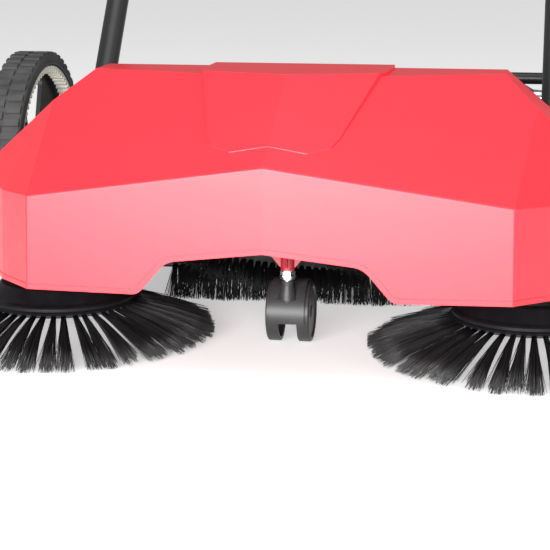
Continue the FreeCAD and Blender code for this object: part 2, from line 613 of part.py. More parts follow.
# ---- caster -------------------------------------------------------------------------------------------------
def caster():
    y, r = CASTER_Y + CASTER_TRAIL, CASTER_R
    fender = ring_x(-19.5, 19.5, y, r, r + 1.2, r + 3.4)
    fender = fender.cut(half_plane_below(y, r))
    web = rod_x(-9, 9, y, r, r + 3.3).cut(half_plane_below(y, r + 4))
    web = web.fuse(rod_x(-9, 9, y, r, 10))
    neck = rod_z(0, CASTER_Y, 40, 75, 6.6).fuse(
        Part.makeCone(11, 6.6, 16, V(0, CASTER_Y, 54), AXIS_Z))
    housing = fuse(fender, web, neck)
    for side in (1, -1):
        housing = housing.cut(ring_x(side * 9, side * 30, y, r, 6, r + 1.2))
    housing = housing.cut(rod_z(0, CASTER_Y, 33, 90, 5 + RUN)).cut(rod_x(-30, 30, y, r, 4))
    save("caster_housing", housing)
    save("caster_axle", rod_x(-22, 22, y, r, 4))
    for name, side in SIDES:
        wheel = turned_x([
            (9.6, 4 + RUN), (9.6, 9), (16, 9), (16, r - 5), (10.4, r - 4.4), (10.4, r - 0.6), (11, r), (23, r),
            (CASTER_HALF, r - 1.8), (CASTER_HALF, r - 5), (CASTER_HALF - 1.6, r - 7), (CASTER_HALF - 1.6, 8),
            (CASTER_HALF - 0.4, 6), (CASTER_HALF - 0.4, 0), (22.2, 0), (22.2, 4 + RUN)], y, r, side)
        save("caster_wheel_" + name, wheel)


def half_plane_below(y, z):
    """What is cut off the caster's cover: its lower part, rising towards the rear."""
    return prism_x([(y - 60, z - 7), (y - 20, z - 7), (y + 60, z + 12), (y + 60, z - 80), (y - 60, z - 80)], -40, 40)


# ---- hopper -------------------------------------------------------------------------------------------------
def hopper():
    half, w = HOPPER_HALF, HOPPER_WALL
    outline = [(-half, HOPPER_Y0), (half, HOPPER_Y0), (half, HOPPER_Y1), (-half, HOPPER_Y1)]
    inside = half - w
    inner = [(-inside, HOPPER_Y0 + w), (inside, HOPPER_Y0 + w), (inside, HOPPER_Y1 - w), (-inside, HOPPER_Y1 - w)]

    def body(points, radii, z0, z1):
        wire = rounded_wire([V(x, y, z0) for x, y in points], radii)
        return Part.Face(wire).extrude(V(0, 0, z1 - z0))

    shell = body(outline, [6, 6, 34, 34], HOPPER_Z0, HOPPER_Z1)
    top_edges = [e for e in shell.Edges if e.BoundBox.ZMin > HOPPER_Z1 - 1]
    shell = shell.makeFillet(10, top_edges)
    shell = shell.cut(body(inner, [3, 3, 31, 31], HOPPER_Z0 + w, HOPPER_Z1 - w))
    shell = shell.cut(box(-197, 197, HOPPER_Y0 - 5, HOPPER_Y0 + 8, 39, 135))
    for x in range(-200, 201, 80):
        rib = box(x - 4, x + 4, HOPPER_Y1 - 1, HOPPER_Y1 + 3, HOPPER_Z0 + 22, HOPPER_Z1 - 70)
        shell = shell.fuse(rib)
    grip = prism_x([(HOPPER_Y1 - 1, 176), (HOPPER_Y1 + 22, 186), (HOPPER_Y1 + 22, 192), (HOPPER_Y1 - 1, 200)], -90, 90)
    grip = grip.cut(prism_x([(HOPPER_Y1 - 2, 160), (HOPPER_Y1 + 18, 180), (HOPPER_Y1 + 18, 187), (HOPPER_Y1 - 2, 193)],
                            -86, 86))
    shell = shell.fuse(grip)
    for _, side in SIDES:
        shell = shell.fuse(rod_x(side * (half - 1), side * 292, BAIL_Y, BAIL_Z, 5))
        shell = shell.fuse(rod_x(side * (half - 1), side * 283.6, BAIL_Y, BAIL_Z, 11))
    save("hopper_bin", shell.removeSplitter())
    bail = rod_x(-289.5, 289.5, 694, 250, 8)
    for _, side in SIDES:
        arm = prism_x([(BAIL_Y - 8, BAIL_Z - 7), (BAIL_Y + 4, BAIL_Z - 10), (700, 243), (694, 258), (686, 256),
                       (BAIL_Y - 6, BAIL_Z + 8)], side * 284.5, side * 289.5, 3)
        bail = bail.fuse(arm).cut(rod_x(side * 280, side * 291, BAIL_Y, BAIL_Z, 5 + RUN))
    save("hopper_bail", bail.removeSplitter())


# ---- handle -------------------------------------------------------------------------------------------------
def along_handle(x, start, end, radius):
    y, z = handle_point(start)
    direction = V(0, math.cos(HANDLE_ANGLE), math.sin(HANDLE_ANGLE))
    return Part.makeCylinder(radius, end - start, V(x, y, z), direction)


def handle():
    legs = []
    clamp_y, clamp_z = handle_point(LEG_LENGTH - 22)
    for name, side in SIDES:
        x = side * HANDLE_X
        leg = along_handle(x, -20, LEG_LENGTH, LEG_R)
        leg = leg.fuse(along_handle(x, LEG_LENGTH - 44, LEG_LENGTH + 2, LEG_R + 3))
        leg = leg.fuse(rod_x(side * (HANDLE_X + 10), side * (HANDLE_X + 22), clamp_y, clamp_z, 9))
        leg = leg.cut(along_handle(x, UPPER_START - 6, LEG_LENGTH + 5, UPPER_R + RUN))
        leg = leg.cut(along_handle(x, -19, UPPER_START - 20, LEG_R - 2))
        leg = leg.cut(rod_x(side * 260, side * 300, HANDLE_Y, HANDLE_Z, 5 + RUN))
        leg = leg.cut(rod_x(side * HANDLE_X, side * (HANDLE_X + 30), clamp_y, clamp_z, 4 + RUN))
        legs.append(leg.removeSplitter())
        lobes = rod_x(side * (HANDLE_X + 24), side * (HANDLE_X + 38), clamp_y, clamp_z, 13)
        for k in range(5):
            a = math.radians(72 * k)
            lobes = lobes.fuse(rod_x(side * (HANDLE_X + 24), side * (HANDLE_X + 38), clamp_y + 13 * math.cos(a),
                                     clamp_z + 13 * math.sin(a), 7))
        knob = fuse(lobes, rod_x(side * (HANDLE_X + UPPER_R + 0.4), side * (HANDLE_X + 25), clamp_y, clamp_z, 4))
        save("clamp_knob_" + name, knob)
    save("handle_legs", *legs)
    upper = []
    bend = 70.0
    top = UPPER_END - bend
    y0, z0 = handle_point(UPPER_START)
    y1, z1 = handle_point(top)
    y2, z2 = handle_point(UPPER_END)
    ym, zm = handle_point(top + bend * math.sin(math.radians(45)))
    inset = HANDLE_X - bend
    corner = inset + bend * math.cos(math.radians(45))
    edges = [
        Part.LineSegment(V(-HANDLE_X, y0, z0), V(-HANDLE_X, y1, z1)).toShape(),
        Part.Arc(V(-HANDLE_X, y1, z1), V(-corner, ym, zm), V(-inset, y2, z2)).toShape(),
        Part.LineSegment(V(-inset, y2, z2), V(inset, y2, z2)).toShape(),
        Part.Arc(V(inset, y2, z2), V(corner, ym, zm), V(HANDLE_X, y1, z1)).toShape(),
        Part.LineSegment(V(HANDLE_X, y1, z1), V(HANDLE_X, y0, z0)).toShape(),
    ]
    direction = V(0, math.cos(HANDLE_ANGLE), math.sin(HANDLE_ANGLE))
    disc = Part.Wire(Part.makeCircle(UPPER_R, V(-HANDLE_X, y0, z0), direction))
    tube = Part.Wire(edges).makePipeShell([disc], True, True)
    save("handle_upper_tube", tube)
    save("handle_grip", ring_x(-185, 185, y2, z2, UPPER_R, 16))
    bolts = []
    for _, side in SIDES:
        bolt = rod_x(side * 266, side * 301, HANDLE_Y, HANDLE_Z, 5)
        head = hexagon_x(side * 301, side * 307, HANDLE_Y, HANDLE_Z, 17)
        nut = hexagon_x(side * 261, side * 268.5, HANDLE_Y, HANDLE_Z, 17)
        bolts.append(fuse(bolt, head, nut))
    save("handle_pivot_bolts", *bolts)


def main():
    os.makedirs("parts", exist_ok=True)
    front_hood()
    chassis_deck()
    side_plates()
    clips = cross_bars_and_axle()
    roller_housing()
    rear_cover()
    bearings_and_seal()
    drive_hangers()
    hopper_rails()
    belts()
    caster_stem()
    frame_screws(clips)
    wheels()
    pinions()
    roller()
    side_brushes()
    caster()
    hopper()
    handle()


main()
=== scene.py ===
"""Walk-behind sweeper, finished: the CAD frame with its materials, and bristles, tread and grip made here.

Everything is in metres, in the frame's own coordinates: +X is the operator's left, +Y the rear, +Z up.
"""
import logging
import math
from dataclasses import dataclass
from enum import Enum
from typing import Any, Dict, Optional, Sequence, Tuple, Union

import bmesh
import bpy
from mathutils import Matrix, Vector


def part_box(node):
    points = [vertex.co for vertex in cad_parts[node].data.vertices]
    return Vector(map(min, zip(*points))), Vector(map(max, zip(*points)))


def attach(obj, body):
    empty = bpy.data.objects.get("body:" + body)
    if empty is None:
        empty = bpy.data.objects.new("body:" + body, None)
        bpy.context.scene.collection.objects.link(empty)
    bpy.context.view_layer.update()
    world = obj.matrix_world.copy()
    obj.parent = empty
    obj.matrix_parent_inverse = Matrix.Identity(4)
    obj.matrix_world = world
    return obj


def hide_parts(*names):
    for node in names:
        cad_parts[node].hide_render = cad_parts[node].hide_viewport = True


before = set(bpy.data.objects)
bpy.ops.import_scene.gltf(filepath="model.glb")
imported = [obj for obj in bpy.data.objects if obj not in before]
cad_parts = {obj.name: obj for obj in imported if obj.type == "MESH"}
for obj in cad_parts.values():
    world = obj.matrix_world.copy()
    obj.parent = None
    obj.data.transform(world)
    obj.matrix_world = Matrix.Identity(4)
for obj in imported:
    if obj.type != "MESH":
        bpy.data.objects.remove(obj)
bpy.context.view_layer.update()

LOG = logging.getLogger("sweeper")
SIDES: Tuple[Tuple[str, int], ...] = (("left", 1), ("right", -1))
TURN = 2 * math.pi
CORNER_LINE_Y = -0.46808            # where the hood's two front corners stand
SHARP_ANGLE = math.radians(35.0)    # edges over this stay sharp on smooth pieces
MERGE_DISTANCE = 1e-7               # points nearer than this are one
Colour = Tuple[float, float, float]
Point = Tuple[float, float, float]


class Axis(Enum):
    """The axis that a brush goes round."""
    ACROSS = 0
    UPRIGHT = 2


# ---- node graphs ---------------------------------------------------------------------------------
class Term:
    """One output of a node, which Python's operators work on by adding Math nodes."""

    def __init__(self, graph: "Graph", socket: bpy.types.NodeSocket) -> None:
        """Keeps the graph and the socket."""
        self.graph, self.socket = graph, socket

    def _math(self, operation: str, *others: "Feed") -> "Term":
        """A Math node of that operation on this term and the others."""
        return self.graph.math(operation, self, *others)

    def __add__(self, other: "Feed") -> "Term":
        """self + other"""
        return self._math("ADD", other)

    __radd__ = __add__

    def __mul__(self, other: "Feed") -> "Term":
        """self * other"""
        return self._math("MULTIPLY", other)

    __rmul__ = __mul__

    def __sub__(self, other: "Feed") -> "Term":
        """self - other"""
        return self._math("SUBTRACT", other)

    def __rsub__(self, other: "Feed") -> "Term":
        """other - self"""
        return self.graph.math("SUBTRACT", other, self)

    def __truediv__(self, other: "Feed") -> "Term":
        """self / other"""
        return self._math("DIVIDE", other)

    def __rtruediv__(self, other: "Feed") -> "Term":
        """other / self"""
        return self.graph.math("DIVIDE", other, self)

    def __mod__(self, other: "Feed") -> "Term":
        """self % other, never negative"""
        return self._math("FLOORED_MODULO", other)

    def __pow__(self, other: "Feed") -> "Term":
        """self ** other"""
        return self._math("POWER", other)

    def floor(self) -> "Term":
        """The whole number below this term."""
        return self._math("FLOOR")

    def clamped(self) -> "Term":
        """This term held between 0 and 1."""
        return self.graph.math("MINIMUM", self.graph.math("MAXIMUM", self, 0.0), 1.0)


Feed = Union[Term, float, int, Sequence[float], str, bpy.types.ID]


class Graph:
    """A node tree and the one way that nodes are added to it."""

    def __init__(self, tree: bpy.types.NodeTree) -> None:
        """Keeps the tree."""
        self.tree = tree

    def node(self, kind: str, settings: Optional[Dict[str, Any]] = None,
             feeds: Optional[Dict[Union[str, int], Feed]] = None) -> bpy.types.Node:
        """Adds a node.

        Args:
            kind: its bl_idname.
            settings: its properties, set before its sockets; "stops" fills a colour ramp.
            feeds: values or terms for its input sockets, by name or by place.

        Returns:
            The new node.
        """
        made = self.tree.nodes.new(kind)
        for name, value in (settings or {}).items():
            if name == "stops":
                self._fill_ramp(made, value)
            else:
                setattr(made, name, value)
        for name, value in (feeds or {}).items():
            socket = made.inputs[name]
            if isinstance(value, Term):
                self.tree.links.new(value.socket, socket)
            else:
                socket.default_value = value
        return made

    @staticmethod
    def _fill_ramp(made: bpy.types.Node, stops: Sequence[Tuple[float, float]]) -> None:
        """Sets a colour ramp's stops, each a position and a grey level."""
        elements = made.color_ramp.elements
        while len(elements) < len(stops):
            elements.new(0.5)
        for element, (position, level) in zip(elements, stops):
            element.position = position
            element.color = (level, level, level, 1)

    def term(self, kind: str, settings: Optional[Dict[str, Any]] = None,
             feeds: Optional[Dict[Union[str, int], Feed]] = None, output: Union[str, int] = 0) -> Term:
        """Adds a node and returns one of its outputs as a term."""
        return Term(self, self.node(kind, settings, feeds).outputs[output])

    def math(self, operation: str, *values: Feed) -> Term:
        """A Math node of that operation on the values."""
        return self.term("ShaderNodeMath", {"operation": operation}, dict(enumerate(values)))

    def combine(self, x: Feed, y: Feed, z: Feed) -> Term:
        """A vector from three numbers."""
        return self.term("ShaderNodeCombineXYZ", None, {0: x, 1: y, 2: z})

    def separate(self, vector: Term) -> Tuple[Term, Term, Term]:
        """The three numbers of a vector."""
        made = self.node("ShaderNodeSeparateXYZ", None, {0: vector})
        return Term(self, made.outputs[0]), Term(self, made.outputs[1]), Term(self, made.outputs[2])


class Surface(Graph):
    """A material's node tree, with the patterns that the finishes share."""

    def __init__(self, name: str) -> None:
        """Makes an empty material of that name with a Principled shader."""
        self.material = bpy.data.materials.new(name)
        self.material.use_nodes = True
        super().__init__(self.material.node_tree)
        self.tree.nodes.clear()
        self.shader = self.node("ShaderNodeBsdfPrincipled")
        out = self.node("ShaderNodeOutputMaterial")
        self.tree.links.new(self.shader.outputs[0], out.inputs[0])
        self.place = self.term("ShaderNodeTexCoord", output="Object")

    def stretched(self, scale: Point) -> Term:
        """Object coordinates, scaled by a different amount along each axis."""
        return self.term("ShaderNodeMapping", None, {"Vector": self.place, "Scale": scale})

    def noise(self, scale: float, detail: float = 3.0, roughness: float = 0.55,
              place: Optional[Term] = None) -> Term:
        """Smooth noise from 0 to 1, with scale waves to the metre."""
        feeds = {"Vector": place or self.place, "Scale": scale, "Detail": detail, "Roughness": roughness}
        return self.term("ShaderNodeTexNoise", None, feeds, "Fac")

    def cells(self, scale: float) -> Term:
        """Distance to the nearest of many scattered points, for pebbled textures."""
        return self.term("ShaderNodeTexVoronoi", None, {"Vector": self.place, "Scale": scale}, "Distance")

    def ramp(self, term: Term, *stops: Tuple[float, float]) -> Term:
        """The term, put through a ramp of positions and levels."""
        return self.term("ShaderNodeValToRGB", {"stops": stops}, {"Fac": term})

    def blend(self, share: Feed, first: Union[Term, Colour], second: Union[Term, Colour]) -> Term:
        """Two colours mixed by share."""
        ends = [colour if isinstance(colour, Term) else (*colour, 1.0) for colour in (first, second)]
        return self.term("ShaderNodeMix", {"data_type": "RGBA"}, {0: share, 6: ends[0], 7: ends[1]}, 2)

    def bump(self, height: Term, depth: float) -> Term:
        """A normal for a height that stands depth metres high."""
        return self.term("ShaderNodeBump", None, {"Height": height, "Distance": depth, "Strength": 1.0})

    def edges(self, radius: float) -> Term:
        """How far the rounded-off normal leaves the true one: about 1 along edges and 0 on flats."""
        rounded = self.term("ShaderNodeBevel", {"samples": 4}, {"Radius": radius})
        true = self.term("ShaderNodeNewGeometry", output="Normal")
        likeness = self.term("ShaderNodeVectorMath", {"operation": "DOT_PRODUCT"},
                             {0: rounded, 1: true}, "Value")
        return ((1.0 - likeness) * 6.0).clamped()

    def finish(self, **feeds: Feed) -> bpy.types.Material:
        """Feeds the shader, each socket by its name with underscores for spaces.

        Returns:
            The material.
        """
        for name, value in feeds.items():
            socket = self.shader.inputs[name.replace("_", " ")]
            if isinstance(value, Term):
                self.tree.links.new(value.socket, socket)
            elif isinstance(value, tuple) and len(value) == 3:
                socket.default_value = (*value, 1.0)
            else:
                socket.default_value = value
        return self.material


# ---- finishes ------------------------------------------------------------------------------------
@dataclass(frozen=True)
class MouldedPlastic:
    """Injection-moulded plastic with a fine pebbled skin, faint flow marks and a little settled dust."""
    name: str
    colour: Colour
    pale: Colour
    roughness: float = 0.42
    grain: float = 900.0
    depth: float = 0.00006
    dust: float = 0.06
    gloss: float = 0.5

    def material(self) -> bpy.types.Material:
        """Builds the material."""
        s = Surface(self.name)
        cloud = s.noise(7.0, 4.0)
        flow = s.noise(38.0, 2.0, 0.5, s.stretched((0.35, 1.0, 1.6)))
        speck = s.noise(self.grain, 1.0, 0.5)
        pebble = s.cells(self.grain)
        base = s.blend(cloud * 0.35 + flow * 0.15, self.colour, self.pale)
        dusty = (s.ramp(s.noise(60.0, 5.0, 0.7), (0.45, 0.0), (0.8, 1.0)) * self.dust).clamped()
        base = s.blend(dusty, base, (0.42, 0.40, 0.38))
        rough = (flow * 0.10 + speck * 0.08 + dusty * 0.8 + (self.roughness - 0.09)).clamped()
        return s.finish(Base_Color=base, Roughness=rough, Specular_IOR_Level=self.gloss,
                        Normal=s.bump(pebble + speck * 0.6, self.depth))


@dataclass(frozen=True)
class PaintedSteel:
    """Sprayed or powder-coated steel: orange-peel skin, and chips to bare metal on the sharp edges."""
    name: str
    colour: Colour
    roughness: float = 0.35
    peel: float = 260.0
    depth: float = 0.00005
    chips: float = 0.6

    def material(self) -> bpy.types.Material:
        """Builds the material."""
        s = Surface(self.name)
        shade = s.noise(9.0, 3.0)
        peel = s.noise(self.peel, 2.0, 0.5)
        patches = s.ramp(s.noise(140.0, 4.0, 0.7), (0.48, 0.0), (0.62, 1.0))
        worn = (s.edges(0.0012) * patches * self.chips).clamped()
        deep = tuple(c * 0.82 for c in self.colour)
        base = s.blend(worn, s.blend(shade * 0.6, self.colour, deep), (0.45, 0.44, 0.43))
        rough = (peel * 0.10 + worn * 0.15 + (self.roughness - 0.05)).clamped()
        return s.finish(Base_Color=base, Roughness=rough, Metallic=worn * 0.9,
                        Normal=s.bump(peel, self.depth))


@dataclass(frozen=True)
class ZincSteel:
    """Bright zinc-plated steel, with drawn lines along one axis and dull fingerprints."""
    name: str
    colour: Colour = (0.62, 0.62, 0.63)
    roughness: float = 0.28
    lines: Point = (3.0, 90.0, 90.0)

    def material(self) -> bpy.types.Material:
        """Builds the material."""
        s = Surface(self.name)
        drawn = s.noise(12.0, 3.0, 0.6, s.stretched(self.lines))
        smear = s.ramp(s.noise(35.0, 4.0, 0.6), (0.4, 0.0), (0.75, 1.0))
        base = s.blend(smear * 0.35 + drawn * 0.2, self.colour, tuple(c * 0.66 for c in self.colour))
        return s.finish(Base_Color=base, Metallic=1.0, Normal=s.bump(drawn, 0.00002),
                        Roughness=(drawn * 0.12 + smear * 0.16 + (self.roughness - 0.08)).clamped())


@dataclass(frozen=True)
class DullRubber:
    """Matt rubber, a little greyed where dust has settled."""
    name: str
    colour: Colour = (0.022, 0.022, 0.023)
    grey: Colour = (0.10, 0.098, 0.094)
    roughness: float = 0.78
    dust: float = 0.35

    def material(self) -> bpy.types.Material:
        """Builds the material."""
        s = Surface(self.name)
        settled = s.ramp(s.noise(24.0, 5.0, 0.68), (0.42, 0.0), (0.78, 1.0))
        fine = s.noise(1400.0, 1.0)
        return s.finish(Base_Color=s.blend(settled * self.dust, self.colour, self.grey),
                        Roughness=(settled * 0.12 + fine * 0.08 + (self.roughness - 0.08)).clamped(),
                        Normal=s.bump(fine, 0.00004))


@dataclass(frozen=True)
class NylonBristle:
    """Crimped black nylon: each filament has its own shade, and its tip is worn paler."""
    name: str
    dark: Colour = (0.0035, 0.0035, 0.004)
    light: Colour = (0.020, 0.020, 0.022)
    tip: Colour = (0.05, 0.049, 0.048)
    roughness: float = 0.42
    gloss: float = 0.5

    def material(self) -> bpy.types.Material:
        """Builds the material."""
        s = Surface(self.name)
        shade = s.term("ShaderNodeAttribute", {"attribute_name": "shade"}, output="Fac")
        along = s.term("ShaderNodeAttribute", {"attribute_name": "along"}, output="Fac")
        base = s.blend(shade ** 1.6, self.dark, self.light)
        base = s.blend((along ** 6.0) * 0.5, base, self.tip)
        crimp = s.noise(700.0, 1.0)
        return s.finish(Base_Color=base, Roughness=(crimp * 0.15 + (self.roughness - 0.07)).clamped(),
                        Specular_IOR_Level=self.gloss)


Finish = Union[MouldedPlastic, PaintedSteel, ZincSteel, DullRubber, NylonBristle]

HOOD_RED = MouldedPlastic("hood_red", (0.80, 0.020, 0.034), (0.85, 0.028, 0.044), roughness=0.36,
                          grain=800.0, depth=0.00003, dust=0.0, gloss=0.38)
FRAME_RED = PaintedSteel("frame_red", (0.27, 0.007, 0.016), roughness=0.40, chips=0.10)
BLACK_SHELL = MouldedPlastic("black_shell", (0.012, 0.012, 0.013), (0.022, 0.022, 0.023), roughness=0.52,
                             grain=650.0, depth=0.00010, dust=0.05)
DISC_GREY = MouldedPlastic("disc_grey", (0.004, 0.004, 0.005), (0.007, 0.007, 0.008), roughness=0.34,
                           depth=0.00003, dust=0.01, gloss=0.16)
CASTER_GREY = MouldedPlastic("caster_grey", (0.018, 0.018, 0.019), (0.030, 0.030, 0.031), roughness=0.40,
                             depth=0.00003, dust=0.03, gloss=0.30)
NATURAL_NYLON = MouldedPlastic("natural_nylon", (0.52, 0.50, 0.43), (0.60, 0.58, 0.51), roughness=0.45,
                               grain=700.0, depth=0.00004, dust=0.08)
TUBE_BLACK = PaintedSteel("tube_black", (0.012, 0.012, 0.013), roughness=0.38, chips=0.35)
PLATE_ZINC = ZincSteel("plate_zinc", lines=(90.0, 3.0, 90.0))
ROD_ZINC = ZincSteel("rod_zinc", (0.66, 0.66, 0.67), roughness=0.22)
SCREW_ZINC = ZincSteel("screw_zinc", (0.70, 0.70, 0.71), roughness=0.24, lines=(40.0, 40.0, 4.0))
BELT_RUBBER = DullRubber("belt_rubber", dust=0.15)
TYRE_RUBBER = DullRubber("tyre_rubber")
GRIP_FOAM = DullRubber("grip_foam", (0.014, 0.014, 0.015), (0.05, 0.05, 0.05), roughness=0.88, dust=0.2)
BRISTLE = NylonBristle("bristle")
ROLLER_BRISTLE = NylonBristle("roller_bristle", light=(0.010, 0.010, 0.011), tip=(0.014, 0.014, 0.014),
                              gloss=0.12)


class Paintbox:
    """Builds each finish once and puts it on pieces and CAD nodes."""

    def __init__(self) -> None:
        """Starts with nothing built."""
        self.built: Dict[str, bpy.types.Material] = {}

    def material(self, finish: Finish) -> bpy.types.Material:
        """The finish's material, built at its first use."""
        if finish.name not in self.built:
            self.built[finish.name] = finish.material()
            LOG.info("finish %s", finish.name)
        return self.built[finish.name]

    def dress(self, obj: bpy.types.Object, finish: Finish) -> None:
        """Puts a finish on every slot of an object."""
        material = self.material(finish)
        if not obj.material_slots:
            obj.data.materials.append(material)
        for place in obj.material_slots:
            place.material = material

    def dress_nodes(self, finish: Finish, *nodes: str) -> None:
        """Puts a finish on CAD nodes."""
        for node in nodes:
            self.dress(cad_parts[node], finish)


# ---- mesh helpers --------------------------------------------------------------------------------
def middle(node: str) -> Vector:
    """The centre of a CAD node's box."""
    low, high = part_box(node)
    return (Vector(low) + Vector(high)) / 2


def object_from(name: str, mesh: bpy.types.Mesh) -> bpy.types.Object:
    """Links a mesh to the scene as an object at the origin."""
    obj = bpy.data.objects.new(name, mesh)
    bpy.context.scene.collection.objects.link(obj)
    return obj


def lathe(profile: Sequence[Tuple[float, float]], centre: Vector, steps: int) -> bpy.types.Mesh:
    """Turns a closed profile about an axis that runs across the machine.

    Args:
        profile: (distance along the axis, radius) points, in order round the section.
        centre: a point of the axis, from which the profile's distances run.
        steps: how many sides the result has.

    Returns:
        The mesh, smooth shaded, with its faces outwards.
    """
    def place(along: float, radius: float, angle: float) -> Vector:
        return centre + Vector((along, radius * math.cos(angle), radius * math.sin(angle)))

    bm = bmesh.new()
    rings = [[bm.verts.new(place(a, r, TURN * k / steps)) for a, r in profile] for k in range(steps)]
    count = len(profile)
    for k in range(steps):
        ring, following = rings[k], rings[(k + 1) % steps]
        for i in range(count):
            j = (i + 1) % count
            bm.faces.new((ring[i], ring[j], following[j], following[i]))
    bmesh.ops.remove_doubles(bm, verts=bm.verts, dist=MERGE_DISTANCE)
    bmesh.ops.recalc_face_normals(bm, faces=bm.faces)
    mesh = bpy.data.meshes.new("turned")
    bm.to_mesh(mesh)
    bm.free()
    mesh.polygons.foreach_set("use_smooth", [True] * len(mesh.polygons))
    return mesh


def sharpen(obj: bpy.types.Object) -> None:
    """Keeps a smooth object's edges over the sharp angle crisp."""
    obj.data.set_sharp_from_angle(angle=SHARP_ANGLE)


# ---- geometry nodes ------------------------------------------------------------------------------
class Pattern(Graph):
    """A Geometry Nodes tree with named inputs, run once on an empty object and turned into a plain mesh."""

    def __init__(self, name: str, inputs: Dict[str, Tuple[str, Any]]) -> None:
        """Makes the tree and its inputs.

        Args:
            name: the tree's name.
            inputs: for each input, its socket type and the value it is run with.
        """
        tree = bpy.data.node_groups.new(name, "GeometryNodeTree")
        super().__init__(tree)
        self.values = inputs
        tree.interface.new_socket("Geometry", in_out="OUTPUT", socket_type="NodeSocketGeometry")
        for label, (kind, _) in inputs.items():
            tree.interface.new_socket(label, in_out="INPUT", socket_type=kind)
        self.entry = tree.nodes.new("NodeGroupInput")

    def given(self, label: str) -> Term:
        """One of the tree's named inputs."""
        return Term(self, self.entry.outputs[label])

    def chance(self, low: float, high: float, salt: int, identity: Optional[Term] = None) -> Term:
        """A random number for each element, the same on every run."""
        feeds: Dict[Union[str, int], Feed] = {2: low, 3: high, "Seed": self.given("Seed") + salt}
        if identity is not None:
            feeds["ID"] = identity
        return self.term("FunctionNodeRandomValue", {"data_type": "FLOAT"}, feeds, 1)

    def keep(self, geometry: Term, name: str, kind: str, value: Term) -> Term:
        """Stores a named attribute on the points."""
        settings = {"data_type": kind, "domain": "POINT"}
        return self.term("GeometryNodeStoreNamedAttribute", settings,
                         {"Geometry": geometry, "Name": name, "Value": value})

    def kept(self, name: str, kind: str) -> Term:
        """Reads a named attribute back."""
        return self.term("GeometryNodeInputNamedAttribute", {"data_type": kind}, {"Name": name})

    def close(self, geometry: Term) -> None:
        """Ends the tree in Realize Instances and Set Material."""
        real = self.term("GeometryNodeRealizeInstances", None, {"Geometry": geometry})
        dressed = self.term("GeometryNodeSetMaterial", None,
                            {"Geometry": real, "Material": self.given("Material")})
        self.node("NodeGroupOutput", None, {"Geometry": dressed})

    def run(self, name: str) -> bpy.types.Object:
        """Runs the tree.

        Args:
            name: the name of the object made.

        Returns:
            A plain mesh object at the origin.
        """
        carrier = object_from(name + "_carrier", bpy.data.meshes.new(name + "_seed"))
        modifier = carrier.modifiers.new("pattern", "NODES")
        modifier.node_group = self.tree
        for item in self.tree.interface.items_tree:
            if item.item_type == "SOCKET" and item.in_out == "INPUT":
                modifier[item.identifier] = self.values[item.name][1]
        depsgraph = bpy.context.evaluated_depsgraph_get()
        mesh = bpy.data.meshes.new_from_object(carrier.evaluated_get(depsgraph), depsgraph=depsgraph)
        mesh.name = name
        carrier.modifiers.remove(modifier)
        bpy.data.objects.remove(carrier)
        return object_from(name, mesh)


